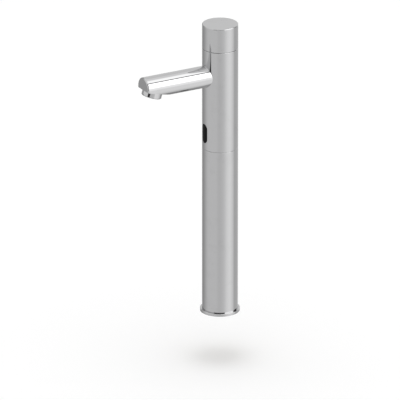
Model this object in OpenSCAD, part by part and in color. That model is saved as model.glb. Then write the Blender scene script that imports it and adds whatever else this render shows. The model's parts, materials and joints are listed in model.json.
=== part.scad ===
// Tall deck-mounted sensor tap with a mixing knob on top.
// Origin: column axis at the deck. The spout points along -Y, +Z is up, and hot is on the left, at -X.
// All sizes are in millimetres.

/* [Column] */
// Outer diameter of the riser tube, upper body and knob
column_d = 45; // [44.6:0.1:47]
// Wall thickness of the column tubes
wall = 3; // [2.8:0.1:3.1]
// Height of the whole tap above the deck
total_h = 382.8; // [382:0.2:384.4]
// Height of the mixing knob
knob_h = 31.2; // [30.6:0.1:31.4]
// Open gap between the knob and the upper body
knob_gap = 0.25; // [0.25:0.05:0.8]
// Height of the joint line between the riser and the upper body
seam_z = 219.5; // [217:0.5:221.5]
// Open gap at that joint line
seam_gap = 0.05; // [0.05:0.05:0.4]

/* [Foot] */
// Diameter of the base ring
ring_d = 50; // [49:0.5:54]
// Top of the base ring above the deck
ring_h = 3.8; // [3.5:0.1:4.5]
// Distance of each hose socket from the column axis
hose_x = 9; // [8.8:0.1:9.2]
// Distance of each stud thread from the column axis
stud_y = 12; // [11.5:0.1:12.5]

/* [Spout] */
// Outer diameter of the spout
spout_d = 27.5; // [27.4:0.1:28.2]
// Height of the spout axis above the deck
spout_z = 316.5; // [315.5:0.5:317]
// Reach of the flat spout end from the column axis
spout_reach = 109; // [108.5:0.5:112]
// Angle of the slanting flat under the spout, in degrees
flat_tilt = 16; // [15:0.2:18]
// Distance from the column axis at which that flat starts
flat_start = 68.5; // [66:0.5:69]
// Outer diameter of the outlet boss
boss_d = 25.4; // [25:0.1:25.6]
// Distance from the column axis at which the outlet axis meets the flat
outlet_y = 95.6; // [95:0.2:96.2]
// Length of the outlet boss below the flat
boss_h = 6.8; // [6.5:0.1:8]

/* [Sensor] */
// Width of the sensor window
window_w = 12; // [10:0.2:12]
// Height of the sensor window
window_h = 25; // [24:0.5:26]
// Height of the middle of the sensor window above the deck
window_z = 241; // [240:0.5:242]

/* [Travel] */
// Lift of a check valve poppet
poppet_lift = 2.5; // [1.5:0.1:2.6]
// Travel of the solenoid plunger
plunger_travel = 1.8; // [1.2:0.1:1.8]
// Turn of the knob each way from the middle, in degrees
knob_turn = 55; // [30:1:60]

/* [Hidden] */
$fn = 64;
column_r = column_d / 2;
bore_r = column_r - wall;
core_r = bore_r - 0.1;
body_top = total_h - knob_h - knob_gap;
knob_z = body_top + knob_gap;
joint_r = bore_r + 1;
joint_depth = 14;
seam_edge = 0.25;
rim_edge = 0.4;
joint_rise = 6;
joint_screw_z = seam_z - 10.5;

base_top = 36;
socket_r = 4.5;
socket_top = 12.5;
check_foot = socket_top + 1.5;
stud_r = 3.4;
stud_depth = 15;
check_r = 4;
check_top = 26;
seat_top = check_foot + 1.5;
head_top = seat_top + 1.5;
guide_z = check_top - 1.5;
chamber_top = check_top + poppet_lift + 2;

pipe_x = 15.4;
pipe_r = 2.75;
pipe_bore = 1.9;
pipe_foot = 31;
block_z = spout_z - 24;
pipe_top = block_z + 11.5;

spout_r = spout_d / 2;
flat_z = spout_z - spout_r + (outlet_y - flat_start) * tan(flat_tilt);
spigot_r = 9;
spigot_end = 9.6;
water_r = 5.5;
aerator_r = 10.7;

block_top = body_top - 1.7;
seat_z = spout_z + 12;
cartridge_r = 13;
neck_r = 9;
nut_r = 15;
shoulder_z = seat_z + 14;
disc_z = seat_z + 0.85;
turning_z = disc_z + 3.05;
stem_z = turning_z + 3;
stem_r = 4;
insert_z = block_top + 5.4;
hub_z = insert_z + 1.6;
screw_z = hub_z + 6;
lug_angle = 14;

bonnet_r = 12;
bonnet_z = block_z - 6.8;
web_top = bonnet_z + 3.8;
piston_z = web_top + 1.8;
valve_seat_z = block_z + 7;
tube_r = 5;
plunger_r = 4.1;
core_top = bonnet_z - 17.7;
plunger_z = core_top + plunger_travel + 0.2;
coil_z = core_top - 3.5;
yoke_z = coil_z - 1.4;

housing_y = 17.2;
housing_w = 16;
housing_h = 30;
housing_d = 10;

battery_z = 108;
cell_r = 7.25;
cell_h = 50.5;
cell_front_y = -6.9;
cell_rear_y = 7.9;
carrier_y = 16.5;
case_z = 50;
case_h = 46;
lead_r = 1.2;

sensor_route = [
    [0, -12, 226.5], [0, -12.4, 224], [-3, -12.8, 221], [-7, -13, 218], [-10, -12.6, 214.8],
    [-11.4, -11.6, 210], [-11.5, -11.4, 195], [-11.5, -11.4, 180], [-11.5, -11.4, 165],
    [-11.5, -11.4, 150], [-11.5, -11.4, 135], [-11.5, -11.4, 120], [-11.4, -11.2, 108],
    [-10, -10, 103], [-7, -8, 101], [-5, -7, 99.5], [-5, -7, 94.5]
];
solenoid_route = [
    [11, 5, 262.5], [11, 5, 261], [11.4, 6.4, 258.5], [12, 9, 255.5], [12, 11, 251], [12, 11, 247],
    [12, 11, 235], [12, 11, 220], [12, 11, 205], [12, 11, 190], [12, 11, 175], [12, 11, 160],
    [12, 11, 145], [12, 11, 130], [12, 11, 115], [11.6, 10.6, 107], [10, 9, 103], [7, 7, 101],
    [5, 6, 99.5], [5, 6, 94.5]
];
battery_route = [[0, 2, 109], [0, 2, 105], [0, 1.4, 102], [0, 1.4, 99], [0, 1.4, 94.5]];

// Small shared shapes

module tube(r_out, r_in, h) {
    difference() {
        cylinder(r = r_out, h = h);
        translate([0, 0, -1]) cylinder(r = r_in, h = h + 2);
    }
}

// A tube whose outer rims are rounded
module edged_tube(r_out, r_in, h, low_edge, high_edge) {
    rotate_extrude() {
        translate([r_in, low_edge]) square([r_out - r_in, h - low_edge - high_edge]);
        translate([r_in, 0]) square([r_out - low_edge - r_in, h / 2]);
        translate([r_in, h / 2]) square([r_out - high_edge - r_in, h / 2]);
        translate([r_out - low_edge, low_edge]) circle(r = low_edge);
        translate([r_out - high_edge, h - high_edge]) circle(r = high_edge);
    }
}

module o_ring(major, minor) {
    rotate_extrude() translate([major, 0]) circle(r = minor);
}

// An upright obround prism that starts at the front plane y = -from and runs back to y = -to
module front_obround(w, h, from, to) {
    translate([0, -to, window_z]) rotate([90, 0, 0]) linear_extrude(from - to) {
        square([w, h - w], center = true);
        translate([0, (h - w) / 2]) circle(r = w / 2);
        translate([0, (w - h) / 2]) circle(r = w / 2);
    }
}

// A round bar along the spout, from y = -from to y = -to
module spout_bar(r, from, to, rise = 0) {
    translate([0, -from, spout_z + rise]) rotate([90, 0, 0]) cylinder(r = r, h = to - from);
}

// Places its children on the outlet axis, with the origin in the middle of the boss end and +Z into the spout
module at_outlet() {
    translate([0, -outlet_y - boss_h * sin(flat_tilt), flat_z - boss_h * cos(flat_tilt)])
        rotate([-flat_tilt, 0, 0]) children();
}

module both_sides(x) {
    for (side = [-1, 1]) translate([side * x, 0, 0]) children();
}

function unit(v) = v / norm(v);
function along(p, i) = unit(p[min(i + 1, len(p) - 1)] - p[max(i - 1, 0)]);
function across(d) = unit(cross(d, abs(d[1]) < 0.9 ? [0, 1, 0] : [1, 0, 0]));

// A solid tube swept along points, one ring of vertices at each point
module swept_tube(points, r, sides) {
    n = len(points);
    verts = [
        for (i = [0:n - 1])
            let (d = along(points, i), u = across(d), v = cross(d, u))
                for (k = [0:sides - 1]) points[i] + r * (cos(360 * k / sides) * u + sin(360 * k / sides) * v)
    ];
    walls = [
        for (i = [0:n - 2], k = [0:sides - 1])
            let (a = i * sides + k, b = i * sides + (k + 1) % sides)
                each [[a, a + sides, b], [b, a + sides, b + sides]]
    ];
    last = (n - 1) * sides;
    start_cap = [for (k = [1:sides - 2]) [0, k, k + 1]];
    end_cap = [for (k = [1:sides - 2]) [last, last + k + 1, last + k]];
    polyhedron(verts, concat(walls, start_cap, end_cap));
}

// A compression spring standing on z = 0
module spring(r, wire, h, turns) {
    steps = 8 * turns;
    swept_tube([
        for (i = [0:steps])
            [r * cos(45 * i), r * sin(45 * i), wire + (h - 2 * wire) * i / steps]
    ], wire, 6);
}

// Foot

module base_ring() color("gainsboro") {
    edge = 0.3;
    shoulder_r = ring_d / 2 - edge;
    difference() {
        rotate_extrude() {
            translate([0, 0.3]) square([ring_d / 2, ring_h - 0.3 - edge]);
            translate([0, 0.3]) square([shoulder_r, ring_h - 0.3]);
            translate([shoulder_r, ring_h - edge]) circle(r = edge);
        }
        translate([0, 0, -1]) cylinder(r = column_r - 0.9, h = ring_h + 2);
        translate([0, 0, -1]) tube(column_r + 1.75, column_r - 0.2, 2.3);
    }
}

module deck_gasket() color("dimgray") {
    tube(column_r + 1.7, column_r - 0.15, 1.3);
}

module mounting_base() color("darkkhaki") difference() {
    rotate_extrude()
        polygon([
            [0, 0], [column_r - 1, 0], [column_r - 1, ring_h], [core_r, ring_h], [core_r, base_top],
            [0, base_top]
        ]);
    both_sides(hose_x) rotate_extrude()
        polygon([
            [0, -1], [socket_r, -1], [socket_r, socket_top], [check_r + 0.05, socket_top],
            [check_r + 0.05, check_top + 1], [2.5, check_top + 1], [2.5, chamber_top], [0, chamber_top]
        ]);
    both_sides(pipe_x) rotate_extrude()
        polygon([
            [0, check_top + 1], [pipe_bore, check_top + 1], [pipe_bore, pipe_foot],
            [pipe_r + 0.05, pipe_foot], [pipe_r + 0.05, base_top + 1], [0, base_top + 1]
        ]);
    for (side = [-1, 1]) {
        translate([side * (hose_x + 0.5), 0, check_top + 2.7])
            rotate([0, side * 90, 0]) cylinder(r = 1.1, h = pipe_x - hose_x - 1);
        translate([0, side * stud_y, -1]) cylinder(r = stud_r, h = stud_depth + 1);
    }
    translate([0, 11, base_top - 8]) cylinder(r = 1.5, h = 10);
}

// Column

module riser_tube() color("lightgray") difference() {
    translate([0, 0, ring_h]) edged_tube(column_r, bore_r, seam_z - seam_gap / 2 - ring_h, 0.1, seam_edge);
    translate([0, 0, seam_z - joint_depth]) cylinder(r = joint_r, h = joint_depth + 1);
    rear_hole(joint_screw_z, 2);
}

// A hole through the rear wall of the column
module rear_hole(z, r) {
    translate([0, 0, z]) rotate([-90, 0, 0]) cylinder(r = r, h = column_r + 1);
}

module joining_nipple() color("goldenrod") difference() {
    translate([0, 0, seam_z - joint_depth]) tube(joint_r - 0.05, bore_r - 0.9, joint_depth + joint_rise);
    for (z = joint_ring_z()) translate([0, 0, z - 0.7]) tube(joint_r + 1, joint_r - 1, 1.4);
    rear_hole(joint_screw_z, 1.5);
}

function joint_ring_z() = [seam_z - 6.4, seam_z - 3.2];

module joint_o_rings() color("black") {
    for (z = joint_ring_z()) translate([0, 0, z]) o_ring(joint_r - 0.51, 0.46);
}

module joint_grub_screw() color("slategray") {
    translate([0, bore_r - 0.9, joint_screw_z]) rotate([-90, 0, 0]) difference() {
        union() {
            cylinder(r = 1.45, h = 2);
            translate([0, 0, 1.95]) cylinder(r = 1.95, h = 1.55);
        }
        translate([0, 0, 1.7]) cylinder(r = 1.15, h = 3, $fn = 6);
    }
}

module upper_body() color("lightgray") {
    body_z = seam_z + seam_gap / 2;
    difference() {
        translate([0, 0, body_z]) edged_tube(column_r, bore_r, body_top - body_z, seam_edge, rim_edge);
        translate([0, 0, body_z - 1]) cylinder(r = joint_r, h = seam_z + joint_rise - body_z + 1);
        spout_bar(spigot_r + 0.05, 10, column_r + 1);
        front_obround(window_w + 0.2, window_h + 0.2, column_r + 1, 10);
    }
}

// Spout and outlet

module spout() color("silver") {
    edge = 1.8;
    difference() {
        union() {
            difference() {
                translate([0, 0, spout_z]) rotate([90, 0, 0]) rotate_extrude() {
                    square([spout_r, spout_reach - edge]);
                    square([spout_r - edge, spout_reach]);
                    translate([spout_r - edge, spout_reach - edge]) circle(r = edge);
                }
                translate([0, 0, spout_z - 40]) cylinder(r = column_r, h = 80);
                translate([0, -flat_start, spout_z - spout_r])
                    rotate([-flat_tilt, 0, 0]) translate([-20, -80, -30]) cube([40, 90, 30]);
            }
            spout_bar(spigot_r, spigot_end, column_r + 3);
            intersection() {
                at_outlet() outlet_boss();
                translate([-30, -spout_reach, spout_z - 50]) cube([60, 60, 100]);
            }
        }
        spout_bar(water_r, spigot_end - 1, column_r + 5);
        spout_bar(spout_r - 3, column_r + 3.5, flat_start - 3);
        spout_bar(6.2, flat_start - 5, outlet_y - 2, 1.5);
        at_outlet() {
            translate([0, 0, -1]) cylinder(r = aerator_r + 0.1, h = 13);
            translate([0, 0, 11]) cylinder(r = 8.2, h = 6);
        }
        spout_o_ring_groove();
    }
}

module outlet_boss() {
    chamfer = 0.8;
    boss_r = boss_d / 2;
    rotate_extrude()
        polygon([[0, 0], [boss_r - chamfer, 0], [boss_r, chamfer], [boss_r, boss_h + 8], [0, boss_h + 8]]);
}

module spout_o_ring_groove() {
    translate([0, -10.6, spout_z]) rotate([90, 0, 0]) tube(spigot_r + 1, spigot_r - 1.2, 1.6);
}

module spout_o_ring() color("black") {
    translate([0, -11.4, spout_z]) rotate([90, 0, 0]) o_ring(spigot_r - 0.56, 0.58);
}

module spout_grub_screw() color("slategray") {
    translate([0, -15.6, block_z]) difference() {
        cylinder(r = 1.95, h = spout_z - spigot_r - block_z);
        translate([0, 0, -1]) cylinder(r = 1.2, h = 3, $fn = 6);
    }
}

module aerator_ring() color("silver") at_outlet() difference() {
    translate([0, 0, 0.6]) cylinder(r = aerator_r, h = 9.8);
    translate([0, 0, 1.4]) cylinder(r = 9.3, h = 10);
    cylinder(r = 8.6, h = 3);
    for (a = [0:90:270]) {
        rotate([0, 0, a + 45]) translate([8, -0.9, 0]) cube([1.9, 1.8, 1.3]);
    }
}

module aerator_insert() color("whitesmoke") at_outlet() difference() {
    translate([0, 0, 1.45]) cylinder(r = 9.2, h = 6.8);
    translate([0, 0, 3.2]) cylinder(r = 8, h = 6);
    for (row = [0:3], k = [0:max(6 * row, 1) - 1]) {
        rotate([0, 0, 60 / max(row, 1) * k]) translate([1.95 * row, 0, 0]) cylinder(r = 0.75, h = 4);
    }
}

module flow_regulator() color("darkorange") at_outlet() difference() {
    translate([0, 0, 8.3]) cylinder(r = 8.4, h = 2);
    for (a = [0:45:315]) rotate([0, 0, a]) translate([5.5, 0, 8]) cylinder(r = 0.9, h = 3);
}

module aerator_washer() color("dimgray") at_outlet() {
    translate([0, 0, 10.45]) tube(aerator_r, 8.3, 1.5);
}

// Sensor

module sensor_window() color("black") intersection() {
    union() {
        front_obround(window_w, window_h, column_r, housing_y);
        front_obround(window_w + 2.4, window_h + 2.4, housing_y + 0.9, housing_y);
    }
    cylinder(r = column_r - 0.1, h = total_h);
}

// Its wall is thin, so it is drawn finer than the rest
module sensor_gasket($fn = 180) color("dimgray") difference() {
    intersection() {
        front_obround(window_w + 4.4, window_h + 4.4, bore_r, housing_y);
        cylinder(r = bore_r - 0.02, h = total_h);
    }
    front_obround(window_w + 2.44, window_h + 2.44, housing_y + 0.92, housing_y - 1);
    front_obround(window_w + 0.04, window_h + 0.04, column_r, housing_y - 1);
}

module sensor_housing() color("darkslategray") difference() {
    translate([-housing_w / 2, -housing_y, window_z - housing_h / 2])
        cube([housing_w, housing_d, housing_h]);
    translate([-housing_w / 2 + 1.2, -housing_y - 1, window_z - housing_h / 2 + 1.5])
        cube([housing_w - 2.4, housing_d - 0.2, housing_h - 3]);
    translate([0, -12, window_z - housing_h / 2 - 1]) cylinder(r = lead_r + 0.1, h = 4);
}

module sensor_board() color("darkgreen") {
    translate([-housing_w / 2 + 1.3, -housing_y + housing_d - 2.2, window_z - housing_h / 2 + 1.6])
        cube([housing_w - 2.6, 1, housing_h - 3.2]);
}

// A lamp-shaped diode on the sensor board that looks out through the window
module diode(z) {
    back_y = housing_y - housing_d + 2.2;
    translate([0, -back_y, z]) rotate([90, 0, 0]) {
        cylinder(r = 2.9, h = 1);
        cylinder(r = 2.5, h = 5);
        translate([0, 0, 5]) sphere(r = 2.5);
    }
}

module ir_emitter() color("lightsteelblue") diode(window_z + 6.5);

module ir_receiver() color("midnightblue") diode(window_z - 6.5);

module sensor_brace() color("lightslategray") {
    front_y = -housing_y + housing_d;
    rear_y = bore_r - 0.5;
    translate([-4, 0, window_z]) rotate([90, 0, 90]) linear_extrude(8) difference() {
        translate([front_y, -9]) square([rear_y - front_y, 18]);
        translate([front_y + 0.8, -8.2]) square([rear_y - front_y - 1.6, 16.4]);
    }
}

// Mixing valve

module valve_block() color("darkkhaki") difference() {
    translate([0, 0, block_z]) cylinder(r = core_r, h = block_top - block_z);
    translate([0, 0, seat_z]) cylinder(r = cartridge_r + 0.05, h = 40);
    translate([0, 0, shoulder_z]) cylinder(r = nut_r + 0.05, h = 30);
    spout_bar(spigot_r + 0.05, spigot_end - 0.1, column_r);
    spout_bar(water_r, -1, spigot_end + 1);
    translate([0, 0, block_z - 1]) cylinder(r = bonnet_r + 0.05, h = 5.5);
    translate([0, 0, block_z + 4]) difference() {
        cylinder(r = 10.5, h = 5);
        translate([0, 0, valve_seat_z - block_z - 4]) cylinder(r = 5.5, h = 5);
    }
    translate([0, 0, valve_seat_z - 1]) cylinder(r = 4, h = spout_z - valve_seat_z + 1);
    translate([0, 8.5, block_z + 8]) cylinder(r = 2.5, h = seat_z - block_z - 7);
    for (side = [-1, 1]) {
        translate([side * pipe_x, 0, block_z - 1]) cylinder(r = pipe_r + 0.05, h = 12.6);
        translate([side * pipe_x, 0, block_z + 7]) cylinder(r = pipe_r + 0.9, h = 1.2);
        translate([side * pipe_x, 0, block_z + 10]) cylinder(r = pipe_bore, h = seat_z - block_z - 13);
        translate([side * 7, 0, seat_z - 3])
            rotate([0, side * 90, 0]) cylinder(r = pipe_bore, h = pipe_x - 7);
        translate([side * 7, 0, seat_z - 3]) cylinder(r = pipe_bore, h = 4);
    }
    translate([0, -15.6, block_z - 1]) cylinder(r = 2, h = spout_z - block_z - 5);
}

// Three water ports through a flat piece of the cartridge
module ports(z, h) {
    translate([0, 0, z - 1]) {
        both_sides(7) cylinder(r = 2, h = h + 2);
        translate([0, 8.5, 0]) cylinder(r = 2.3, h = h + 2);
    }
}

module cartridge_seal() color("dimgray") difference() {
    translate([0, 0, seat_z]) cylinder(r = cartridge_r - 0.2, h = 0.8);
    ports(seat_z, 0.8);
}

module fixed_disc() color("white") difference() {
    translate([0, 0, disc_z]) cylinder(r = 11, h = 3);
    ports(disc_z, 3);
}

module cartridge_body() color("ivory") difference() {
    union() {
        translate([0, 0, seat_z + 0.8]) cylinder(r = cartridge_r, h = shoulder_z - seat_z - 0.8);
        translate([0, 0, shoulder_z - 1]) cylinder(r = neck_r, h = block_top + 4 - shoulder_z + 1);
    }
    translate([0, 0, seat_z]) cylinder(r = 11.1, h = stem_z + 2.8 - seat_z);
    translate([0, 0, seat_z]) cylinder(r = stem_r + 0.05, h = 60);
}

module turning_disc() color("whitesmoke") difference() {
    translate([0, 0, turning_z]) cylinder(r = 11, h = 3);
    translate([0, 0, turning_z - 1]) intersection() {
        tube(10, 4.5, 2.6);
        translate([-15, -4, 0]) cube([30, 20, 5]);
    }
}

module cartridge_stem() color("goldenrod") difference() {
    union() {
        translate([0, 0, stem_z]) cylinder(r = 8.5, h = 2.6);
        translate([0, 0, stem_z]) cylinder(r = stem_r, h = hub_z + 10 - stem_z);
    }
    translate([-5, stem_r - 0.6, hub_z - 2]) cube([10, 5, 20]);
}

module cartridge_nut() color("goldenrod") {
    nut_h = block_top + 0.5 - shoulder_z;
    translate([0, 0, shoulder_z]) difference() {
        tube(nut_r, neck_r + 0.1, nut_h);
        for (a = [0, 180]) {
            rotate([0, 0, a]) translate([nut_r - 1.6, -1.5, nut_h - 2]) cube([3, 3, 3]);
        }
    }
}

// A block of a ring, of the given height, centred on the direction a
module ring_sector(r_in, r_out, h, a, width) {
    rotate([0, 0, a - width / 2])
        rotate_extrude(angle = width) translate([r_in, 0]) square([r_out - r_in, h]);
}

module stop_ring() color("firebrick") translate([0, 0, block_top + 0.5]) {
    free_angle = 2 * (knob_turn + lug_angle / 2 + 1);
    difference() {
        tube(12.6, neck_r + 0.1, 4.3);
        translate([0, 0, 1.8]) ring_sector(neck_r - 1, 14, 4, 90, free_angle);
    }
}

module glide_ring() color("snow") {
    translate([0, 0, block_top]) difference() {
        union() {
            cylinder(r = bore_r - 0.05, h = 2);
            translate([0, 0, 1.8]) cylinder(r = column_r - 2.08, h = 4);
        }
        translate([0, 0, -1]) cylinder(r = 15.8, h = 10);
    }
}

module knob() color("gainsboro") {
    edge = 0.8;
    lip = 0.4;
    difference() {
        translate([0, 0, knob_z]) rotate_extrude() difference() {
            union() {
                translate([0, lip]) square([column_r, knob_h - lip - edge]);
                square([column_r - lip, knob_h - edge]);
                square([column_r - edge, knob_h]);
                translate([column_r - lip, lip]) circle(r = lip);
                translate([column_r - edge, knob_h - edge]) circle(r = edge);
            }
            translate([11, -1]) square([column_r - 2 - 11, knob_h - 2]);
            translate([-1, -1]) square([13, hub_z - knob_z + 1]);
        }
        translate([0, 0, hub_z - 1]) cylinder(r = 8.05, h = 13);
        rear_hole(screw_z, 2.05);
    }
}

module knob_insert() color("dimgray") difference() {
    union() {
        translate([0, 0, insert_z]) cylinder(r = 12.4, h = hub_z - insert_z);
        translate([0, 0, insert_z]) cylinder(r = 8, h = hub_z + 11.5 - insert_z);
        translate([0, 0, block_top + 2.5])
            ring_sector(neck_r + 0.8, 12.2, insert_z - block_top - 2, 90, lug_angle);
    }
    translate([0, 0, insert_z - 1]) difference() {
        cylinder(r = stem_r + 0.02, h = 20);
        translate([-5, stem_r - 0.58, -1]) cube([10, 5, 30]);
    }
    rear_hole(screw_z, 2.05);
}

module knob_grub_screw() color("slategray") {
    translate([0, stem_r - 0.6, screw_z]) rotate([-90, 0, 0]) difference() {
        cylinder(r = 2, h = 7.4);
        translate([0, 0, 5.4]) cylinder(r = 1.15, h = 3, $fn = 6);
    }
}

// Solenoid valve

module solenoid_bonnet() color("whitesmoke") difference() {
    translate([0, 0, bonnet_z]) cylinder(r = bonnet_r, h = block_z + 4 - bonnet_z);
    translate([0, 0, web_top]) cylinder(r = 10, h = 20);
    translate([0, 0, bonnet_z - 1]) cylinder(r = tube_r + 0.05, h = 20);
}

module valve_piston() color("white") difference() {
    union() {
        translate([0, 0, piston_z]) cylinder(r = 9.92, h = 5.6);
        translate([0, 0, piston_z]) cylinder(r = 6.5, h = valve_seat_z - 0.05 - piston_z);
    }
    translate([0, 0, piston_z - 1]) cylinder(r = 0.5, h = 20);
    translate([8, 0, piston_z - 1]) cylinder(r = 0.4, h = 20);
}

module armature_tube() color("lightsteelblue") {
    difference() {
        translate([0, 0, coil_z]) cylinder(r = tube_r, h = web_top - coil_z - 0.05);
        translate([0, 0, core_top]) cylinder(r = plunger_r + 0.08, h = 40);
    }
    translate([0, 0, yoke_z - 4]) cylinder(r = 2.5, h = coil_z - yoke_z + 4.5);
}

module plunger() color("slategray") {
    difference() {
        translate([0, 0, plunger_z]) cylinder(r = plunger_r, h = web_top - 0.6 - plunger_z);
        translate([0, 0, plunger_z - 1]) cylinder(r = 2.6, h = 8);
    }
    translate([0, 0, web_top - 0.7]) cylinder(r = 1.6, h = piston_z - 0.1 - web_top + 0.7);
}

module plunger_spring() color("silver") {
    translate([0, 0, core_top + 0.02]) spring(1.9, 0.35, 8.9, 6);
}

module coil_bobbin() color("black") {
    translate([0, 0, coil_z]) {
        tube(6, tube_r + 0.05, 21);
        tube(11, tube_r + 0.05, 1.2);
        translate([0, 0, 19.8]) tube(11, tube_r + 0.05, 1.2);
    }
    translate([7.5, 3, coil_z - 2]) cube([5.2, 4, 3.2]);
}

module coil_winding() color("peru") {
    translate([0, 0, coil_z + 1.2]) tube(10.4, 6, 18.6);
}

module coil_yoke() color("lightslategray") {
    top = bonnet_z - coil_z + 1.4;
    translate([0, 0, yoke_z]) difference() {
        translate([-6, -12.4, 0]) cube([12, 24.8, top]);
        translate([-7, -11.2, 1.4]) cube([14, 22.4, top - 1.4 - 0.19]);
        translate([0, 0, -1]) cylinder(r = 2.6, h = 3);
        translate([0, 0, top - 1]) cylinder(r = tube_r + 0.05, h = 3);
    }
}

module coil_nut() color("goldenrod") {
    translate([0, 0, yoke_z - 3.2]) difference() {
        cylinder(r = 4.6, h = 3.2, $fn = 6);
        translate([0, 0, -1]) cylinder(r = 2.52, h = 6);
    }
}

// Supply

module supply_pipes() color("peru") {
    both_sides(pipe_x) translate([0, 0, pipe_foot]) tube(pipe_r, pipe_bore, pipe_top - pipe_foot);
}

module pipe_o_rings() color("black") {
    both_sides(pipe_x) translate([0, 0, block_z + 7.6]) o_ring(pipe_r + 0.45, 0.43);
}

module check_valve_bodies() color("cornflowerblue") {
    both_sides(hose_x) translate([0, 0, check_foot]) difference() {
        cylinder(r = check_r, h = check_top - check_foot);
        translate([0, 0, -1]) cylinder(r = 2.2, h = 4);
        translate([0, 0, seat_top - check_foot]) cylinder(r = 3.2, h = guide_z - seat_top);
        cylinder(r = 1.06, h = 20);
        for (a = [0:120:240]) rotate([0, 0, a]) translate([2.2, 0, 8]) cylinder(r = 0.8, h = 8);
    }
}

module poppet(x) {
    translate([x, 0, 0]) {
        translate([0, 0, seat_top + 0.05]) cylinder(r = 2.9, h = head_top - seat_top - 0.05);
        translate([0, 0, head_top - 0.1]) cylinder(r = 1, h = check_top - head_top);
    }
}

module hot_poppet() color("crimson") poppet(-hose_x);

module cold_poppet() color("royalblue") poppet(hose_x);

module poppet_spring(x) {
    translate([x, 0, head_top + 0.02]) spring(1.7, 0.3, guide_z - head_top - 0.04, 5);
}

module hot_poppet_spring() color("silver") poppet_spring(-hose_x);

module cold_poppet_spring() color("silver") poppet_spring(hose_x);

module inlet_filters() color("lightslategray") {
    both_sides(hose_x) translate([0, 0, socket_top]) difference() {
        cylinder(r = check_r, h = check_foot - socket_top);
        translate([0, 0, 0.5]) cylinder(r = 3.3, h = 2);
        for (k = [0:5]) rotate([0, 0, 60 * k]) translate([2.2, 0, -1]) cylinder(r = 0.7, h = 3);
        translate([0, 0, -1]) cylinder(r = 0.7, h = 3);
    }
}

// Power and control

module carrier_strip() color("lightsteelblue") difference() {
    translate([-5, 0, 0]) rotate([90, 0, 90]) linear_extrude(10)
        polygon([
            [7, base_top], [carrier_y + 1.2, base_top], [carrier_y + 1.2, seam_z - 8],
            [carrier_y, seam_z - 8], [carrier_y, base_top + 1.2], [7, base_top + 1.2]
        ]);
    translate([0, 11, base_top - 1]) cylinder(r = 1.6, h = 4);
    for (z = carrier_screw_z()) {
        translate([0, carrier_y - 1, z]) rotate([-90, 0, 0]) cylinder(r = 1.1, h = 4);
    }
}

function carrier_screw_z() = [case_z + case_h / 2, battery_z + 20, battery_z + 86];

module carrier_screws() color("slategray") {
    translate([0, 11, base_top - 7]) {
        cylinder(r = 1.45, h = 8.3);
        translate([0, 0, 8.2]) cylinder(r = 2.6, h = 1.6);
    }
    for (z = carrier_screw_z()) {
        translate([0, carrier_y + 1.8, z]) rotate([90, 0, 0]) {
            cylinder(r = 1.9, h = 0.6);
            cylinder(r = 1, h = 2.6);
        }
    }
}

module battery_holder() color("darkslategray") difference() {
    translate([-8.5, -15, battery_z]) cube([17, carrier_y + 15, 2 * cell_h + 5]);
    for (y = [cell_front_y, cell_rear_y]) {
        translate([0, y, battery_z + 1.5]) cylinder(r = cell_r + 0.1, h = 2 * cell_h + 2);
        translate([0, y - 5, battery_z + 6]) cube([10, 10, 2 * cell_h - 7]);
    }
    for (z = [battery_z + 20, battery_z + 86]) {
        translate([0, carrier_y - 0.9, z]) rotate([-90, 0, 0]) cylinder(r = 1.05, h = 4);
    }
    translate([0, 2, battery_z - 1]) cylinder(r = lead_r + 0.1, h = 2);
}

module battery_cells() color("darkgoldenrod") {
    for (y = [cell_front_y, cell_rear_y], level = [0, 1]) {
        translate([0, y, battery_z + 2 + level * cell_h]) {
            cylinder(r = cell_r, h = cell_h - 1.4);
            translate([0, 0, cell_h - 1.5]) cylinder(r = 2.7, h = 1.4);
        }
    }
}

module battery_contacts() color("silver") {
    for (z = [battery_z + 1.5, battery_z + 2 * cell_h + 2], y = [cell_front_y, cell_rear_y]) {
        translate([0, y, z]) cylinder(r = 5, h = 0.45);
    }
}

module control_case() color("dimgray") difference() {
    translate([-8.5, -12, case_z]) cube([17, carrier_y + 12, case_h]);
    translate([-7, -10.5, case_z + 1.5]) cube([14, carrier_y + 8.5, case_h - 3]);
    for (p = [[-5, -7], [5, 6], [0, 1.4]]) {
        translate([p[0], p[1], case_z + case_h - 3]) cylinder(r = lead_r + 0.1, h = 5);
    }
    translate([0, carrier_y - 1.6, case_z + case_h / 2]) rotate([-90, 0, 0]) cylinder(r = 1.05, h = 4);
}

module control_board() color("darkgreen") {
    translate([-7, -9, case_z + 4]) {
        cube([1.2, 22, case_h - 12]);
        translate([1.1, 3, 6]) cube([2.4, 8, 8]);
        translate([1.1, 13, 22]) cube([3, 5, 7]);
        translate([1.1, 6, 24]) rotate([0, 90, 0]) cylinder(r = 2.5, h = 5);
    }
}

module wire_leads() color("black") {
    swept_tube(sensor_route, lead_r, 8);
    swept_tube(solenoid_route, lead_r, 8);
}

module battery_lead() color("firebrick") swept_tube(battery_route, lead_r, 8);

base_ring();
deck_gasket();
mounting_base();
riser_tube();
joining_nipple();
joint_o_rings();
joint_grub_screw();
upper_body();
spout();
spout_o_ring();
spout_grub_screw();
aerator_ring();
aerator_insert();
flow_regulator();
aerator_washer();
sensor_window();
sensor_gasket();
sensor_housing();
ir_emitter();
ir_receiver();
sensor_board();
sensor_brace();
valve_block();
cartridge_body();
cartridge_seal();
fixed_disc();
turning_disc();
cartridge_stem();
cartridge_nut();
stop_ring();
glide_ring();
knob();
knob_insert();
knob_grub_screw();
solenoid_bonnet();
valve_piston();
plunger();
plunger_spring();
armature_tube();
coil_bobbin();
coil_winding();
coil_yoke();
coil_nut();
supply_pipes();
pipe_o_rings();
check_valve_bodies();
hot_poppet();
cold_poppet();
hot_poppet_spring();
cold_poppet_spring();
inlet_filters();
carrier_strip();
carrier_screws();
battery_holder();
battery_cells();
battery_contacts();
control_case();
control_board();
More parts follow.
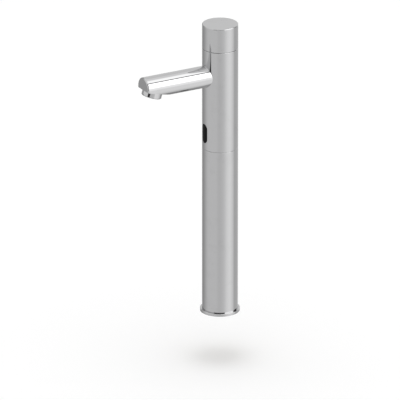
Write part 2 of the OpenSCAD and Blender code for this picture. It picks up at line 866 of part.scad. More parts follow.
battery_lead();
wire_leads();
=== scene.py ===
"""Looks of a tall sensor tap: its finishes, the small details on it, the studio and the camera."""

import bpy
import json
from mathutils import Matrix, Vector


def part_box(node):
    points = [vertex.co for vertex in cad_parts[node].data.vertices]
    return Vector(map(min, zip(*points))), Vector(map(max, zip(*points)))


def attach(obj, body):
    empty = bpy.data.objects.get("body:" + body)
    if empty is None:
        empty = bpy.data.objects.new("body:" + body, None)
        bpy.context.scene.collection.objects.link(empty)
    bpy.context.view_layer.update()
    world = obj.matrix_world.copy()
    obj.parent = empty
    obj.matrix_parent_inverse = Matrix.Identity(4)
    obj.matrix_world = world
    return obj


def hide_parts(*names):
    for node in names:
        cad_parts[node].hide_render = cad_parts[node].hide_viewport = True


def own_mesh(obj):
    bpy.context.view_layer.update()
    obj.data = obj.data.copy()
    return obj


bl_info = {
    "name": "Sensor Tap Looks",
    "version": (1, 0, 0),
    "blender": (4, 5, 0),
    "location": "View3D > Sidebar > Sensor Tap",
    "description": "Dresses the tall sensor tap with its finishes and small details",
    "category": "Object",
}

import json
import math

import bmesh
import bpy
from bpy.props import FloatProperty, FloatVectorProperty, PointerProperty
from mathutils import Matrix, Vector

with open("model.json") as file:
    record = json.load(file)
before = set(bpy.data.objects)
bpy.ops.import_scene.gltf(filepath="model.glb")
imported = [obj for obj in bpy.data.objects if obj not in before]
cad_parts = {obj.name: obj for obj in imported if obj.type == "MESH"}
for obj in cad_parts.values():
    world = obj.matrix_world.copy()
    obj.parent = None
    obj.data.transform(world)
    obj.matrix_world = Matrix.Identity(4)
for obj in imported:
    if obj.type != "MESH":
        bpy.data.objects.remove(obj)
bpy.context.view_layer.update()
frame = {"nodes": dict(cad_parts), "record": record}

MM = 0.001

# Sizes read from the frame, in metres
COLUMN_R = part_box("riser_tube")[1].x
SPOUT_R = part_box("spout")[1].x
SPOUT_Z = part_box("spout")[1].z - SPOUT_R
BASE_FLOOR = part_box("mounting_base")[0].z


# Properties


class TapPlating(bpy.types.PropertyGroup):
    """Finish of the plated outside"""

    color: FloatVectorProperty(
        name="Chrome", description="Colour of the chrome plate", subtype="COLOR", size=3,
        default=(0.56, 0.56, 0.565), min=0, max=1)
    roughness: FloatProperty(
        name="Roughness", description="Roughness of the clean plate", default=0.045, min=0, max=1)
    smudge: FloatProperty(
        name="Smudges", description="How much faint smudges dull the plate", default=0.05, min=0, max=1)
    fillet: FloatProperty(
        name="Spout fillet", description="Size of the fillet where the spout meets the column",
        default=0.35 * MM, min=0.1 * MM, max=2 * MM, unit="LENGTH")


class TapColors(bpy.types.PropertyGroup):
    """Colours of the other materials"""

    window: FloatVectorProperty(
        name="Window", description="Colour of the infrared window", subtype="COLOR", size=3,
        default=(0.003, 0.0028, 0.003), min=0, max=1)
    brass: FloatVectorProperty(
        name="Brass", description="Colour of machined brass", subtype="COLOR", size=3,
        default=(0.72, 0.56, 0.28), min=0, max=1)
    steel: FloatVectorProperty(
        name="Steel", description="Colour of stainless steel", subtype="COLOR", size=3,
        default=(0.60, 0.60, 0.61), min=0, max=1)
    copper: FloatVectorProperty(
        name="Copper", description="Colour of drawn copper", subtype="COLOR", size=3,
        default=(0.72, 0.36, 0.20), min=0, max=1)
    rubber: FloatVectorProperty(
        name="Rubber", description="Colour of the seals and lead sleeves", subtype="COLOR", size=3,
        default=(0.03, 0.03, 0.03), min=0, max=1)


class TapOutlet(bpy.types.PropertyGroup):
    """Lean of the outlet and sizes of the screen in it"""

    lean: FloatProperty(
        name="Lean", description="Angle between the outlet's axis and the vertical",
        default=math.radians(16), subtype="ANGLE")
    cell: FloatProperty(
        name="Cell", description="Width of one honeycomb cell across its flats", default=1.5 * MM,
        min=0.8 * MM, max=3 * MM, unit="LENGTH")
    wall: FloatProperty(
        name="Wall", description="Thickness of the walls between cells", default=0.28 * MM,
        min=0.1 * MM, max=0.6 * MM, unit="LENGTH")


class TapThreads(bpy.types.PropertyGroup):
    """Sizes of the threads under the base"""

    hose_pitch: FloatProperty(
        name="Hose pitch", description="Pitch of the thread in the hose sockets", default=1 * MM,
        min=0.5 * MM, max=2 * MM, unit="LENGTH")
    stud_pitch: FloatProperty(
        name="Stud pitch", description="Pitch of the thread in the stud holes", default=1.25 * MM,
        min=0.5 * MM, max=2 * MM, unit="LENGTH")


class TapStudio(bpy.types.PropertyGroup):
    """Floor, lamp and surroundings"""

    floor_drop: FloatProperty(
        name="Floor drop", description="Height of the tap's foot above the floor", default=0.063,
        min=0, max=0.2, unit="LENGTH")
    floor_radius: FloatProperty(
        name="Floor radius", description="Radius of the round floor", default=8,
        min=1, max=20, unit="LENGTH")
    sun_level: FloatProperty(
        name="Overhead light", description="Light that falls straight down on a level surface",
        default=0.86, min=0, max=2)
    sun_spread: FloatProperty(
        name="Overhead spread", description="How wide the overhead light is, as seen from the tap",
        default=math.radians(72), min=0, max=math.pi, subtype="ANGLE")
    room_level: FloatProperty(
        name="Room level", description="Plain light that the room gives to matt surfaces", default=0.14,
        min=0, max=2)
    tent_level: FloatProperty(
        name="Tent level", description="Brightness of the pale tent that the plate reflects", default=0.79,
        min=0, max=2)


class TapCamera(bpy.types.PropertyGroup):
    """Where the camera stands"""

    azimuth: FloatProperty(
        name="Azimuth", description="Turn of the camera round the tap from its front",
        default=math.radians(61.2), subtype="ANGLE")
    elevation: FloatProperty(
        name="Elevation", description="Height of the camera above the level",
        default=math.radians(21.33), subtype="ANGLE")
    distance: FloatProperty(
        name="Distance", description="Distance from the camera to the point it looks at", default=11.25,
        min=1, max=40, unit="LENGTH")
    lens: FloatProperty(
        name="Lens", description="Focal length in millimetres", default=810, min=50, max=2000)
    look_right: FloatProperty(
        name="Look right", description="Sideways place of the point that the camera looks at",
        default=-0.025, unit="LENGTH")
    look_height: FloatProperty(
        name="Look height", description="Height of the point that the camera looks at",
        default=0.1478, unit="LENGTH")


# Shader trees

# Sockets of a Mix node, which share their names and so are found by number
FLOAT_A, FLOAT_B = 2, 3
COLOR_A, COLOR_B, COLOR_RESULT = 6, 7, 2


def add_node(tree, kind, **values):
    """Adds a node and sets its properties and the defaults of its named inputs."""
    node = tree.nodes.new(kind)
    for name, value in values.items():
        if hasattr(node, name):
            setattr(node, name, value)
        else:
            node.inputs[name.replace("_", " ")].default_value = value
    return node


def join(tree, source, output, target, target_input):
    tree.links.new(source.outputs[output], target.inputs[target_input])


def math_node(tree, operation, *operands):
    """A math node whose operands are numbers or (node, output) pairs."""
    node = add_node(tree, "ShaderNodeMath", operation=operation)
    for index, value in enumerate(operands):
        if isinstance(value, tuple):
            join(tree, value[0], value[1], node, index)
        else:
            node.inputs[index].default_value = value
    return node


def new_group(name, inputs, outputs):
    """A shader group with named sockets: inputs maps a name to its default, outputs lists (name, type)."""
    group = bpy.data.node_groups.new(name, "ShaderNodeTree")
    for label, default in inputs.items():
        kind = "NodeSocketFloat" if isinstance(default, (int, float)) else "NodeSocketColor"
        socket = group.interface.new_socket(name=label, in_out="INPUT", socket_type=kind)
        socket.default_value = default
    for label, kind in outputs:
        group.interface.new_socket(name=label, in_out="OUTPUT", socket_type=kind)
    return group, group.nodes.new("NodeGroupInput"), group.nodes.new("NodeGroupOutput")


FINISH_OUTPUTS = [
    ("Color", "NodeSocketColor"), ("Roughness", "NodeSocketFloat"), ("Height", "NodeSocketFloat"),
]


def placed_texture(group, kind, **values):
    """A texture placed by the object's own coordinates."""
    place = add_node(group, "ShaderNodeTexCoord")
    texture = add_node(group, kind, **values)
    join(group, place, "Object", texture, "Vector")
    return texture


def set_finish(group, given, result, shade, rough_change):
    """Puts out the given colour times a shade, and the given roughness plus a change."""
    tint = add_node(group, "ShaderNodeMix", data_type="RGBA", blend_type="MULTIPLY")
    tint.inputs["Factor"].default_value = 1.0
    join(group, given, "Color", tint, COLOR_A)
    join(group, shade, "Value", tint, COLOR_B)
    join(group, tint, COLOR_RESULT, result, "Color")
    rough = math_node(group, "ADD", (rough_change, "Value"), (given, "Roughness"))
    join(group, rough, "Value", result, "Roughness")


def polish_group():
    """Faint wiping marks and smudges of a polished plate."""
    group, given, result = new_group(
        "Polished Plate",
        {"Color": (0.6, 0.6, 0.6, 1), "Roughness": 0.04, "Smudge": 0.05, "Scale": 60.0}, FINISH_OUTPUTS)
    cloud = placed_texture(group, "ShaderNodeTexNoise", Detail=4.0, Roughness=0.6)
    join(group, given, "Scale", cloud, "Scale")
    mask = add_node(
        group, "ShaderNodeMapRange", interpolation_type="SMOOTHSTEP", From_Min=0.48, From_Max=0.72)
    join(group, cloud, "Fac", mask, "Value")
    dull = math_node(group, "MULTIPLY", (mask, "Result"), (given, "Smudge"))
    shade = math_node(group, "MULTIPLY_ADD", (dull, "Value"), -0.6, 1.0)
    set_finish(group, given, result, shade, dull)
    marks = placed_texture(group, "ShaderNodeTexNoise", Scale=900.0, Detail=2.0)
    join(group, marks, "Fac", result, "Height")
    return group


def turned_group():
    """Fine rings left by a lathe, with a little tarnish."""
    group, given, result = new_group(
        "Turned Metal",
        {"Color": (0.6, 0.6, 0.6, 1), "Roughness": 0.25, "Rings": 700.0}, FINISH_OUTPUTS)
    rings = placed_texture(
        group, "ShaderNodeTexWave", wave_type="BANDS", bands_direction="Z", Distortion=0.6, Detail=2.0)
    join(group, given, "Rings", rings, "Scale")
    join(group, rings, "Fac", result, "Height")
    cloud = placed_texture(group, "ShaderNodeTexNoise", Scale=140.0, Detail=4.0)
    shade = math_node(group, "MULTIPLY_ADD", (cloud, "Fac"), -0.35, 1.1)
    spread = math_node(group, "MULTIPLY_ADD", (cloud, "Fac"), 0.25, -0.12)
    set_finish(group, given, result, shade, spread)
    return group


def grain_group():
    """Fine grain of a moulded surface, with a slight mottle."""
    group, given, result = new_group(
        "Moulded Grain",
        {"Color": (0.5, 0.5, 0.5, 1), "Roughness": 0.5, "Grain": 1400.0, "Mottle": 0.12}, FINISH_OUTPUTS)
    grain = placed_texture(group, "ShaderNodeTexNoise", Detail=3.0)
    join(group, given, "Grain", grain, "Scale")
    join(group, grain, "Fac", result, "Height")
    cloud = placed_texture(group, "ShaderNodeTexNoise", Scale=90.0, Detail=3.0)
    off_middle = math_node(group, "SUBTRACT", (cloud, "Fac"), 0.5)
    amount = math_node(group, "MULTIPLY", (off_middle, "Value"), (given, "Mottle"))
    shade = math_node(group, "ADD", (amount, "Value"), 1.0)
    set_finish(group, given, result, shade, amount)
    return group


def effect(name, build):
    """The shared shader group of that name, built on its first use."""
    return bpy.data.node_groups.get(name) or build()


def finish(name, group, color, metallic=0.0, bump=0.02, depth=0.02 * MM, **values):
    """A material whose colour, roughness and bump come from a shared group, placed with its own values."""
    material = bpy.data.materials.get(name)
    if material:
        return material
    material = bpy.data.materials.new(name)
    material.use_nodes = True
    tree = material.node_tree
    shader = tree.nodes["Principled BSDF"]
    shader.inputs["Metallic"].default_value = metallic
    source = add_node(tree, "ShaderNodeGroup", node_tree=group)
    source.inputs["Color"].default_value = (*color, 1)
    for label, value in values.items():
        source.inputs[label.capitalize()].default_value = value
    join(tree, source, "Color", shader, "Base Color")
    join(tree, source, "Roughness", shader, "Roughness")
    relief = add_node(tree, "ShaderNodeBump", Strength=bump, Distance=depth)
    join(tree, source, "Height", relief, "Height")
    join(tree, relief, "Normal", shader, "Normal")
    return material


def chrome():
    plating = bpy.context.scene.tap_plating
    return finish(
        "polished_chrome", effect("Polished Plate", polish_group), plating.color, metallic=1.0, bump=0.004,
        roughness=plating.roughness, smudge=plating.smudge, scale=60.0)


def brass():
    return finish(
        "turned_brass", effect("Turned Metal", turned_group), bpy.context.scene.tap_colors.brass,
        metallic=1.0, bump=0.15, roughness=0.26)


def steel():
    return finish(
        "turned_steel", effect("Turned Metal", turned_group), bpy.context.scene.tap_colors.steel,
        metallic=1.0, bump=0.1, roughness=0.28)


def copper():
    return finish(
        "drawn_copper", effect("Turned Metal", turned_group), bpy.context.scene.tap_colors.copper,
        metallic=1.0, bump=0.1, roughness=0.3, rings=1100.0)


def rubber():
    return finish(
        "black_rubber", effect("Moulded Grain", grain_group), bpy.context.scene.tap_colors.rubber,
        bump=0.25, roughness=0.62, grain=1100.0)


# Colour and roughness of the plastics, the resin, the board and the ceramic
MOULDED = {
    "black_plastic": ((0.04, 0.04, 0.045), 0.42),
    "grey_plastic": ((0.35, 0.36, 0.37), 0.42),
    "white_plastic": ((0.85, 0.85, 0.83), 0.42),
    "red_plastic": ((0.60, 0.06, 0.05), 0.42),
    "blue_plastic": ((0.10, 0.22, 0.55), 0.42),
    "orange_plastic": ((0.85, 0.35, 0.05), 0.42),
    "red_sleeve": ((0.45, 0.03, 0.03), 0.42),
    "cell_sleeve": ((0.15, 0.15, 0.16), 0.25),
    "board_green": ((0.02, 0.20, 0.08), 0.3),
    "disc_ceramic": ((0.92, 0.92, 0.90), 0.15),
    "clear_resin": ((0.45, 0.55, 0.70), 0.1),
}


def moulded(name):
    color, roughness = MOULDED[name]
    return finish(name, effect("Moulded Grain", grain_group), color, bump=0.12, roughness=roughness)


def window_plastic():
    material = finish(
        "infrared_window", effect("Moulded Grain", grain_group), bpy.context.scene.tap_colors.window,
        bump=0.01, roughness=0.12, mottle=0.06)
    shader = material.node_tree.nodes["Principled BSDF"]
    shader.inputs["Specular IOR Level"].default_value = 0.06
    return material


def dress(names, material):
    """Puts a material on carried-over nodes."""
    for name in names:
        frame["nodes"][name].material_slots[0].material = material


# Meshes


def add_piece(name, mesh, material, body="column"):
    """Makes an object of a mesh built in the frame's own place, and lets it ride on a body."""
    mesh.materials.append(material)
    for face in mesh.polygons:
        face.use_smooth = True
    piece = bpy.data.objects.new(name, mesh)
    bpy.context.scene.collection.objects.link(piece)
    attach(piece, body)
    return piece


def loops_mesh(name, loops, closed_path):
    """A mesh skinned over loops of points, each loop closed, and the row of loops closed or capped."""
    sides = len(loops[0])
    points = [point for loop in loops for point in loop]
    faces = []
    spans = len(loops) if closed_path else len(loops) - 1
    for i in range(spans):
        here, there = i * sides, (i + 1) % len(loops) * sides
        for k in range(sides):
            after = (k + 1) % sides
            faces.append((here + k, here + after, there + after, there + k))
    if not closed_path:
        faces.append(tuple(reversed(range(sides))))
        faces.append(tuple(range(len(points) - sides, len(points))))
    mesh = bpy.data.meshes.new(name)
    mesh.from_pydata(points, [], faces)
    tidy = bmesh.new()
    tidy.from_mesh(mesh)
    bmesh.ops.recalc_face_normals(tidy, faces=tidy.faces)
    tidy.to_mesh(mesh)
    tidy.free()
    return mesh


def fillet_mesh(size):
    """A concave fillet along the line where the round spout meets the round column."""
    steps, curve_steps = 96, 5
    buried = 0.4 * MM

    def on_column(across, height):
        return Vector((across, -math.sqrt(COLUMN_R ** 2 - across ** 2), height))

    loops = []
    for i in range(steps):
        angle = 2 * math.pi * i / steps
        ray = Vector((math.cos(angle), 0, math.sin(angle)))
        corner = on_column(SPOUT_R * ray.x, SPOUT_Z + SPOUT_R * ray.z)
        on_spout = corner + Vector((0, -size, 0))
        reach = SPOUT_R + size
        beside = on_column(reach * ray.x, SPOUT_Z + reach * ray.z)
        loop = []
        for k in range(curve_steps + 1):
            t = k / curve_steps
            loop.append((1 - t) ** 2 * on_spout + 2 * t * (1 - t) * corner + t * t * beside)
        loop.append(beside + Vector((0, buried, 0)))
        loop.append(corner + Vector((0, buried, 0)) - buried * ray)
        loop.append(on_spout - buried * ray)
        loops.append(loop)
    return loops_mesh("spout_fillet", loops, closed_path=True)


def thread_mesh(name, x, y, radius, pitch, low, high):
    """The crest of an inner thread as one helical ridge standing on the wall of a hole."""
    steps_per_turn, fade_steps = 40, 12
    height = 0.45 * pitch
    half = 0.42 * pitch
    crest_share = 0.2
    least_height = 0.06 * MM
    buried = 0.05 * MM
    wall = radius + buried
    turns = (high - low - 2 * half) / pitch
    loops = []
    count = int(turns * steps_per_turn)
    for i in range(count + 1):
        angle = 2 * math.pi * i / steps_per_turn
        z = low + half + (high - low - 2 * half) * i / count
        fade = min(1, i / fade_steps, (count - i) / fade_steps)
        inner = wall - max(least_height, height * fade)
        ray = Vector((math.cos(angle), math.sin(angle), 0))
        centre = Vector((x, y, z))
        up = Vector((0, 0, half))
        loops.append([
            centre + wall * ray - up, centre + inner * ray - crest_share * up,
            centre + inner * ray + crest_share * up, centre + wall * ray + up])
    return loops_mesh(name, loops, closed_path=False)


def coil_mesh(name, node, wire, turns):
    """A spring of round wire, wound up the box of the node that it stands for."""
    low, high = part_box(node)
    centre = (low + high) / 2
    radius = (high.x - low.x) / 2 - wire
    rise = high.z - low.z - 2 * wire
    steps_per_turn, sides = 24, 10
    steps = steps_per_turn * turns
    loops = []
    for i in range(steps + 1):
        angle = 2 * math.pi * turns * i / steps
        ray = Vector((math.cos(angle), math.sin(angle), 0))
        middle = Vector((centre.x, centre.y, low.z + wire + rise * i / steps)) + radius * ray
        loop = []
        for k in range(sides):
            bend = 2 * math.pi * k / sides
            loop.append(middle + wire * (math.cos(bend) * ray + Vector((0, 0, math.sin(bend)))))
        loops.append(loop)
    return loops_mesh(name, loops, closed_path=False)


def honeycomb_mesh(name, radius, cell, wall, thickness, place):
    """A round screen of hexagonal cells, built flat on z = 0 and then moved by a matrix."""
    corner = cell / math.sqrt(3)
    inner = (cell - wall) / math.sqrt(3)
    # Share of the way from a cell's middle to its corners that has to lie inside the radius
    share_inside = 0.8
    weld = 0.01 * MM
    turns = [math.radians(60 * k + 30) for k in range(6)]
    hexagon = [Vector((math.cos(turn), math.sin(turn), 0)) for turn in turns]
    flat = bmesh.new()
    rows = int(radius / (cell * math.sqrt(3) / 2)) + 1
    for row in range(-rows, rows + 1):
        for column in range(-rows - 1, rows + 2):
            centre = Vector(((column + 0.5 * (row % 2)) * cell, row * cell * math.sqrt(3) / 2, 0))
            if centre.length + share_inside * corner > radius:
                continue
            outer_ring = [flat.verts.new(centre + corner * ray) for ray in hexagon]
            inner_ring = [flat.verts.new(centre + inner * ray) for ray in hexagon]
            for k in range(6):
                after = (k + 1) % 6
                flat.faces.new((outer_ring[k], outer_ring[after], inner_ring[after], inner_ring[k]))
    bmesh.ops.remove_doubles(flat, verts=flat.verts, dist=weld)
    raised = bmesh.ops.extrude_face_region(flat, geom=flat.faces[:])
    moved = [item for item in raised["geom"] if isinstance(item, bmesh.types.BMVert)]
    bmesh.ops.translate(flat, verts=moved, vec=(0, 0, thickness))
    bmesh.ops.recalc_face_normals(flat, faces=flat.faces)
    bmesh.ops.transform(flat, matrix=place, verts=flat.verts)
    mesh = bpy.data.meshes.new(name)
    flat.to_mesh(mesh)
    flat.free()
    return mesh


def outlet_place(lean):
    """The outlet's own axes: from the middle of the aerator's mouth, with +Z up into the spout."""
    low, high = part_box("aerator_ring")
    ring_height = (high.z - low.z - 2 * high.x * math.sin(lean)) / math.cos(lean)
    up = Vector((0, math.sin(lean), math.cos(lean)))
    mouth = (low + high) / 2 - up * ring_height / 2
    return Matrix.Translation(mouth) @ Matrix.Rotation(-lean, 4, "X")


# Operators, one for each piece or group of like pieces


class TAP_OT_plated_shell(bpy.types.Operator):
    """Chrome on the column, spout, knob, base ring and aerator ring, and the fillet at the spout's root"""

    bl_idname = "tap.plated_shell"
    bl_label = "Plated Shell"

    def execute(self, context):
        dress(["base_ring", "riser_tube", "upper_body", "spout", "knob", "aerator_ring"], chrome())
        add_piece("spout_fillet", fillet_mesh(context.scene.tap_plating.fillet), chrome())
        return {"FINISHED"}


class TAP_OT_sensor_window(bpy.types.Operator):
    """The dark window and the sensor behind it"""

    bl_idname = "tap.sensor_window"
    bl_label = "Sensor Window"

    def execute(self, context):
        dress(["sensor_window"], window_plastic())
        dress(["sensor_gasket"], rubber())
        dress(["sensor_housing"], moulded("black_plastic"))
        dress(["sensor_brace"], moulded("grey_plastic"))
        dress(["ir_emitter", "ir_receiver"], moulded("clear_resin"))
        dress(["sensor_board"], moulded("board_green"))
        return {"FINISHED"}


class TAP_OT_outlet(bpy.types.Operator):
    """The aerator in the outlet, with a honeycomb screen across its mouth"""

    bl_idname = "tap.outlet"
    bl_label = "Outlet"

    def execute(self, context):
        sizes = context.scene.tap_outlet
        white = moulded("white_plastic")
        dress(["aerator_insert"], white)
        dress(["flow_regulator"], moulded("orange_plastic"))
        dress(["aerator_washer"], rubber())
        mouth_r = 8.5 * MM
        depth = 0.6 * MM
        inset = 0.2 * MM
        place = outlet_place(sizes.lean) @ Matrix.Translation((0, 0, inset))
        mesh = honeycomb_mesh("aerator_screen", mouth_r, sizes.cell, sizes.wall, depth, place)
        add_piece("aerator_screen", mesh, white)
        return {"FINISHED"}


class TAP_OT_foot(bpy.types.Operator):
    """The base with its threads, check valves, filters and gasket"""

    bl_idname = "tap.foot"
    bl_label = "Foot"

    def execute(self, context):
        sizes = context.scene.tap_threads
        dress(["mounting_base"], brass())
        dress(["deck_gasket"], rubber())
        dress(["inlet_filters", "hot_poppet_spring", "cold_poppet_spring"], steel())
        dress(["check_valve_bodies", "cold_poppet"], moulded("blue_plastic"))
        dress(["hot_poppet"], moulded("red_plastic"))
        holes = [
            (mount["name"], mount["pos_m"], mount["dims"]) for mount in frame["record"]["mounts"]
            if mount["kind"] == "threaded_hole"]
        lead_in, run_out = 0.6 * MM, 0.8 * MM
        for name, (x, y, _), dims in holes:
            pitch = sizes.hose_pitch if "inlet" in name else sizes.stud_pitch
            low = BASE_FLOOR + lead_in
            high = BASE_FLOOR + dims["length_mm"] * MM - run_out
            mesh = thread_mesh(name, x, y, dims["r_mm"] * MM, pitch, low, high)
            add_piece(name + "_thread", mesh, brass())
        return {"FINISHED"}


class TAP_OT_valves(bpy.types.Operator):
    """The mixing valve and the solenoid valve"""

    bl_idname = "tap.valves"
    bl_label = "Valves"

    def execute(self, context):
        dress(["valve_block", "cartridge_stem", "cartridge_nut"], brass())
        dress(["cartridge_seal", "spout_o_ring"], rubber())
        dress(["fixed_disc", "turning_disc"], moulded("disc_ceramic"))
        white = moulded("white_plastic")
        dress(["cartridge_body", "valve_piston"], white)
        dress(["stop_ring"], moulded("red_plastic"))
        dress(["glide_ring", "coil_bobbin"], moulded("black_plastic"))
        dress(["knob_insert", "solenoid_bonnet"], moulded("grey_plastic"))
        dress(["coil_winding"], copper())
        dress(
            ["plunger", "plunger_spring", "armature_tube", "coil_yoke", "coil_nut", "knob_grub_screw",
             "spout_grub_screw"], steel())
        return {"FINISHED"}


# Each spring's node, the joint that shortens it, its wire's radius, its turns, and the end that stays put
SPRINGS = (
    ("hot_poppet_spring", "hot_check_lift", 0.3 * MM, 5, "top"),
    ("cold_poppet_spring", "cold_check_lift", 0.3 * MM, 5, "top"),
    ("plunger_spring", "plunger_pull", 0.35 * MM, 6, "foot"),
)


class TAP_OT_springs(bpy.types.Operator):
    """The three wound springs, built as coils of wire in place of their nodes"""

    bl_idname = "tap.springs"
    bl_label = "Springs"

    def execute(self, context):
        for node, joint, wire, turns, fixed_end in SPRINGS:
            mesh = coil_mesh(node + "_coil", node, wire, turns)
            piece = add_piece(node + "_coil", mesh, steel())
            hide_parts(node)
            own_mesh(piece)
        return {"FINISHED"}


class TAP_OT_column_inside(bpy.types.Operator):
    """The joint, the supply pipes, and the power and control parts inside the column"""

    bl_idname = "tap.column_inside"
    bl_label = "Column Inside"

    def execute(self, context):
        dress(["joining_nipple"], brass())
        dress(["joint_o_rings", "pipe_o_rings", "wire_leads"], rubber())
        dress(["joint_grub_screw", "carrier_strip", "carrier_screws", "battery_contacts"], steel())
        dress(["supply_pipes"], copper())
        dress(["battery_holder", "control_case"], moulded("black_plastic"))
        dress(["battery_cells"], moulded("cell_sleeve"))
        dress(["control_board"], moulded("board_green"))
        dress(["battery_lead"], moulded("red_sleeve"))
        return {"FINISHED"}


# Studio


def card_group():
    """Mask of a soft card round the tap, placed by its direction, width and height in radians."""
    inputs = {
        "Azimuth": 0.0, "Elevation": 0.0, "Half Width": 0.5, "Half Height": 0.5, "Soft Width": 0.3,
        "Soft Height": 0.3,
    }
    group, given, result = new_group("Studio Card", inputs, [("Mask", "NodeSocketFloat")])
    place = add_node(group, "ShaderNodeTexCoord")
    split = add_node(group, "ShaderNodeSeparateXYZ")
    join(group, place, "Generated", split, "Vector")
    turn = math_node(group, "ARCTAN2", (split, "Y"), (split, "X"))
    rise = math_node(group, "ARCSINE", (split, "Z"))
    masks = []
    for angle, centre, side in ((turn, "Azimuth", "Width"), (rise, "Elevation", "Height")):
        gap = math_node(group, "SUBTRACT", (angle, "Value"), (given, centre))
        wrapped = math_node(group, "WRAP", (gap, "Value"), math.pi, -math.pi)
        away = math_node(group, "ABSOLUTE", (wrapped, "Value"))
        start = math_node(group, "ADD", (given, "Half " + side), (given, "Soft " + side))
        stop = math_node(group, "SUBTRACT", (given, "Half " + side), (given, "Soft " + side))
        mask = add_node(group, "ShaderNodeMapRange", interpolation_type="SMOOTHSTEP")
        join(group, away, "Value", mask, "Value")
        join(group, start, "Value", mask, "From Min")
        join(group, stop, "Value", mask, "From Max")
        masks.append(mask)
    both = math_node(group, "MULTIPLY", (masks[0], "Result"), (masks[1], "Result"))
    join(group, both, "Value", result, "Mask")
    return group


# Cards that the plate reflects. Each has its azimuth from the camera, elevation, half width, half height,
# softness across and softness up, all in degrees, and its level. A later card covers an earlier one.
CARDS = (
    ("left flag", -150, -45, 40, 45, 35, 14, 0.38),
    ("front floor", -3, -45, 14, 50, 12, 14, 0.73),
    ("key spill", 62, -38, 24, 30, 24, 12, 1.12),
    ("right flag", 150, -24, 50, 22, 8, 10, 0.62),
    ("back low flag", 168, -50, 30, 14, 16, 8, 0.30),
    ("back wall", 165, 20, 45, 30, 14, 8, 0.89),
    ("left wall", -142, 10, 30, 26, 12, 8, 0.45),
    ("left glow", -74, 15, 34, 22, 8, 8, 0.95),
    ("front dark low", -33, -4, 13, 12, 4, 4, 0.05),
    ("front dark high", -2, 28, 36, 10.5, 4, 3, 0.02),
    ("front dark top", -16, 46, 24, 14, 5, 4, 0.02),
    ("key skirt", 58, -6, 26, 10, 8, 6, 1.40),
    ("key softbox", 62, 26, 30, 23, 3, 5, 2.60),
    ("right dark", 118, 36, 15, 18, 4, 3, 0.02),
    ("right dark low", 118, -4, 15, 9, 4, 3, 0.02),
    ("overhead", 0, 90, 180, 39, 1, 2, 1.05),
    ("overhead front", -10, 64, 45, 8, 16, 5, 1.50),
    ("key top", 92, 58, 32, 6, 8, 2, 1.70),
    ("seam", 75, 49.2, 45, 2.8, 10, 0.8, 0.03),
)


def studio_world():
    """White to the camera, a pale tent with cards to gloss, and a plain level to matt surfaces."""
    studio = bpy.context.scene.tap_studio
    camera = bpy.context.scene.tap_camera
    world = bpy.data.worlds.new("studio")
    world.use_nodes = True
    tree = world.node_tree
    tree.nodes.clear()
    tent = add_node(tree, "ShaderNodeValue")
    tent.outputs[0].default_value = studio.tent_level
    level, socket = tent, "Value"
    cards = effect("Studio Card", card_group)
    facing = camera.azimuth - math.pi / 2
    for name, azimuth, elevation, half_width, half_height, soft_width, soft_height, strength in CARDS:
        card = add_node(tree, "ShaderNodeGroup", node_tree=cards, label=name)
        card.inputs["Azimuth"].default_value = facing + math.radians(azimuth)
        card.inputs["Elevation"].default_value = math.radians(elevation)
        card.inputs["Half Width"].default_value = math.radians(half_width)
        card.inputs["Half Height"].default_value = math.radians(half_height)
        card.inputs["Soft Width"].default_value = math.radians(soft_width)
        card.inputs["Soft Height"].default_value = math.radians(soft_height)
        mix = add_node(tree, "ShaderNodeMix", data_type="FLOAT")
        join(tree, card, "Mask", mix, "Factor")
        join(tree, level, socket, mix, FLOAT_A)
        mix.inputs[FLOAT_B].default_value = strength
        level, socket = mix, "Result"
    ray = add_node(tree, "ShaderNodeLightPath")
    gloss = math_node(tree, "MAXIMUM", (ray, "Is Glossy Ray"), (ray, "Is Transmission Ray"))
    matt = add_node(tree, "ShaderNodeMix", data_type="FLOAT")
    join(tree, gloss, "Value", matt, "Factor")
    matt.inputs[FLOAT_A].default_value = studio.room_level
    join(tree, level, socket, matt, FLOAT_B)
    seen = add_node(tree, "ShaderNodeMix", data_type="FLOAT")
    join(tree, ray, "Is Camera Ray", seen, "Factor")
    join(tree, matt, "Result", seen, FLOAT_A)
    seen.inputs[FLOAT_B].default_value = 1.0
    background = add_node(tree, "ShaderNodeBackground", Color=(1, 1, 1, 1))
    join(tree, seen, "Result", background, "Strength")
    output = add_node(tree, "ShaderNodeOutputWorld")
    join(tree, background, "Background", output, "Surface")
    bpy.context.scene.world = world


def floor_material():
    """A pale floor that turns white to the camera and keeps the shadow, and is open from below."""
    paint = 0.86
    lift_to_white = 0.15
    material = bpy.data.materials.new("studio_floor")
    material.use_nodes = True
    tree = material.node_tree
    tree.nodes.clear()
    matt = add_node(tree, "ShaderNodeBsdfDiffuse", Color=(paint, paint, paint, 1))
    glow = add_node(tree, "ShaderNodeEmission")
    ray = add_node(tree, "ShaderNodeLightPath")
    lift = math_node(tree, "MULTIPLY", (ray, "Is Camera Ray"), lift_to_white)
    join(tree, lift, "Value", glow, "Strength")
    both = add_node(tree, "ShaderNodeAddShader")
    join(tree, matt, "BSDF", both, 0)
    join(tree, glow, "Emission", both, 1)
    side = add_node(tree, "ShaderNodeNewGeometry")
    clear = add_node(tree, "ShaderNodeBsdfTransparent")
    shown = add_node(tree, "ShaderNodeMixShader")
    join(tree, side, "Backfacing", shown, 0)
    join(tree, both, "Shader", shown, 1)
    join(tree, clear, "BSDF", shown, 2)
    output = add_node(tree, "ShaderNodeOutputMaterial")
    join(tree, shown, "Shader", output, "Surface")
    return material


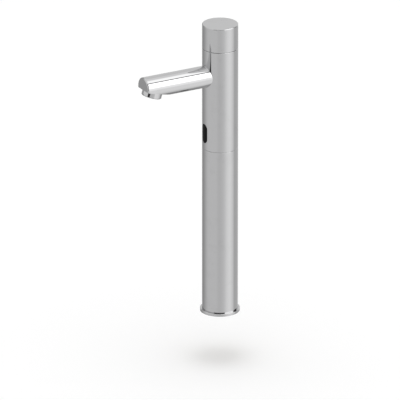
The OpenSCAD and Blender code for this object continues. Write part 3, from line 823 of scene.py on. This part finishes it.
def place_camera():
    settings = bpy.context.scene.tap_camera
    turn, rise = settings.azimuth, settings.elevation
    right = Vector((math.cos(turn), math.sin(turn), 0))
    back = Vector((math.sin(turn) * math.cos(rise), -math.cos(turn) * math.cos(rise), math.sin(rise)))
    target = settings.look_right * right + Vector((0, 0, settings.look_height))
    data = bpy.data.cameras.new("camera")
    data.lens = settings.lens
    data.clip_end = 100
    camera = bpy.data.objects.new("camera", data)
    camera.location = target + settings.distance * back
    camera.rotation_euler = (-back).to_track_quat("-Z", "Y").to_euler()
    bpy.context.scene.collection.objects.link(camera)
    bpy.context.scene.camera = camera


class TAP_OT_studio(bpy.types.Operator):
    """The floor, the lamp, the surroundings and the camera"""

    bl_idname = "tap.studio"
    bl_label = "Studio"

    def execute(self, context):
        studio = context.scene.tap_studio
        context.scene.view_settings.view_transform = "Standard"
        place_camera()
        studio_world()
        floor_sides = 96
        disc = bmesh.new()
        bmesh.ops.create_circle(disc, cap_ends=True, segments=floor_sides, radius=studio.floor_radius)
        mesh = bpy.data.meshes.new("floor")
        disc.to_mesh(mesh)
        disc.free()
        mesh.materials.append(floor_material())
        floor = bpy.data.objects.new("floor", mesh)
        floor.location.z = -studio.floor_drop
        floor.visible_glossy = False
        context.scene.collection.objects.link(floor)
        light = bpy.data.lights.new("overhead_light", "SUN")
        light.energy = math.pi * studio.sun_level
        light.angle = studio.sun_spread
        lamp = bpy.data.objects.new("overhead_light", light)
        lamp.visible_glossy = False
        context.scene.collection.objects.link(lamp)
        return {"FINISHED"}


class TAP_PT_looks(bpy.types.Panel):
    """Lists the settings and the steps of the tap's looks"""

    bl_idname = "TAP_PT_looks"
    bl_label = "Sensor Tap"
    bl_space_type = "VIEW_3D"
    bl_region_type = "UI"
    bl_category = "Sensor Tap"

    def draw(self, context):
        for settings in SETTINGS:
            box = self.layout.box()
            group = getattr(context.scene, settings)
            for label in group.bl_rna.properties.keys():
                if label not in ("rna_type", "name"):
                    box.prop(group, label)
        for step in STEPS:
            self.layout.operator(step.bl_idname)


SETTINGS = {
    "tap_plating": TapPlating, "tap_colors": TapColors, "tap_outlet": TapOutlet, "tap_threads": TapThreads,
    "tap_studio": TapStudio, "tap_camera": TapCamera,
}
STEPS = (
    TAP_OT_studio, TAP_OT_plated_shell, TAP_OT_sensor_window, TAP_OT_outlet, TAP_OT_foot, TAP_OT_valves,
    TAP_OT_springs, TAP_OT_column_inside,
)


def register():
    for name, group in SETTINGS.items():
        bpy.utils.register_class(group)
        setattr(bpy.types.Scene, name, PointerProperty(type=group))
    for step in STEPS:
        bpy.utils.register_class(step)
    bpy.utils.register_class(TAP_PT_looks)


def unregister():
    bpy.utils.unregister_class(TAP_PT_looks)
    for step in reversed(STEPS):
        bpy.utils.unregister_class(step)
    for name, group in SETTINGS.items():
        delattr(bpy.types.Scene, name)
        bpy.utils.unregister_class(group)


def main():
    register()
    for step in STEPS:
        family, name = step.bl_idname.split(".")
        getattr(getattr(bpy.ops, family), name)()


if __name__ == "__main__":
    main()
